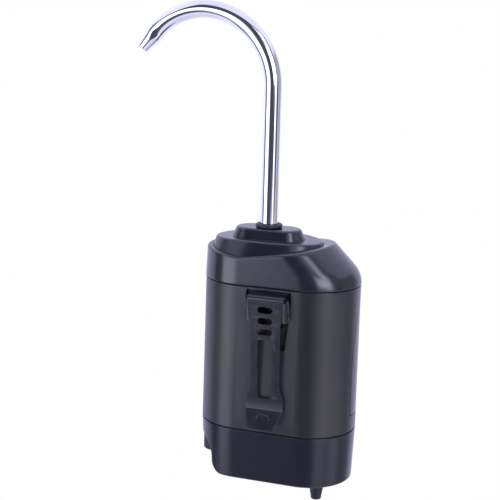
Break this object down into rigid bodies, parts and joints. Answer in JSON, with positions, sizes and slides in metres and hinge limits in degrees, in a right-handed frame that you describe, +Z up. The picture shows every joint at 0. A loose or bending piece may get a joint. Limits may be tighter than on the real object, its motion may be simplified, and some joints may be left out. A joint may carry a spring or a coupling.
{
  "type": "electric water jug pump",
  "caption": "Clip-on electric water jug pump with a racetrack housing, swivelling chrome gooseneck spout, spring clip, push button and a hose nipple below.",
  "frame": {"origin": "on the housing's flat clip side, at the height of the clip's jaw, midway along the housing", "axes": "+Z up along the spout's riser, +Y from the clip side into the housing, +X toward the cap's sloped end; the spout points along -X at rest"},
  "size_m": [0.1094, 0.0504, 0.2283],
  "materials": {
    "shell": "satin moulded shell",
    "cap": "glossy dark slate moulding",
    "deck": "glossy dark slate moulding",
    "base": "satin dark slate moulding",
    "panel": "gloss dark panel",
    "button": "satin button",
    "lens": "clear indicator",
    "seal": "soft black rubber",
    "chrome": "polished plated tube",
    "clip": "dark slate painted spring steel",
    "steel": "plain bright steel",
    "socket": "natural engineering plastic",
    "hose": "translucent silicone",
    "board": "green laminate",
    "chips": "black moulded electronics",
    "cell": "shrink sleeved cell",
    "motor": "drawn steel can",
    "gear": "ivory acetal",
    "pump": "black moulded pump"
  },
  "bodies": {
    "housing": {"mid_shell": "shell", "top_cap": "cap", "spout_deck": "deck", "spout_boss": "deck", "spout_grommet": "seal", "spout_oring": "seal", "spout_socket": "socket", "socket_plug": "socket", "delivery_tube": "hose", "base_cup": "base", "cap_seal": "seal", "base_seal": "seal", "front_panel": "panel", "button_bezel": "steel", "indicator_lens": "lens", "tact_switch": "chips", "control_board": "board", "board_chips": "chips", "board_screws": "steel", "battery_cell": "cell", "battery_cradle": "pump", "clip_pin": "steel", "clip_bracket": "steel", "bracket_screws": "steel", "clip_spring": "steel", "motor_can": "motor", "idler_axle": "steel", "pump_body": "pump", "pump_cover": "pump", "pump_screws": "steel", "inlet_nipple": "pump", "usb_socket": "steel"},
    "spout": {"spout_tube": "chrome", "spout_retainer": "steel"},
    "clip": {"clip_leaf": "clip"},
    "button": {"power_button": "button", "switch_plunger": "gear"},
    "rotor": {"motor_shaft": "steel", "drive_gear": "gear"},
    "idler": {"idler_gear": "gear"},
    "plug": {"charging_plug": "seal"}
  },
  "joints": [
    {"name": "spout_swivel", "type": "hinge", "parent": "housing", "child": "spout", "pos_m": [-0.0072, 0.0219, 0.0785], "axis": [0, 0, 1], "continuous": true},
    {"name": "clip_hinge", "type": "hinge", "parent": "housing", "child": "clip", "pos_m": [0, -0.0018, 0.044], "axis": [-1, 0, 0], "range_deg": [0, 10], "stiffness_Nm_per_rad": 0.4, "springref_deg": -8.59},
    {"name": "power_press", "type": "slide", "parent": "housing", "child": "button", "axis": [0, -1, 0], "range_m": [0, 0.0008], "stiffness_N_per_m": 600, "springref_m": -0.001},
    {"name": "motor_spin", "type": "hinge", "parent": "housing", "child": "rotor", "pos_m": [0.0128, 0.0168, -0.0265], "axis": [0, 0, 1], "continuous": true},
    {"name": "idler_spin", "type": "hinge", "parent": "housing", "child": "idler", "pos_m": [0.0128, 0.027, -0.0265], "axis": [0, 0, 1], "continuous": true},
    {"name": "plug_pull", "type": "slide", "parent": "housing", "child": "plug", "axis": [-1, 0, 0], "range_m": [0, 0.01]}
  ],
  "couplings": [
    {"joint": "idler_spin", "follows": "motor_spin", "ratio": -1}
  ]
}
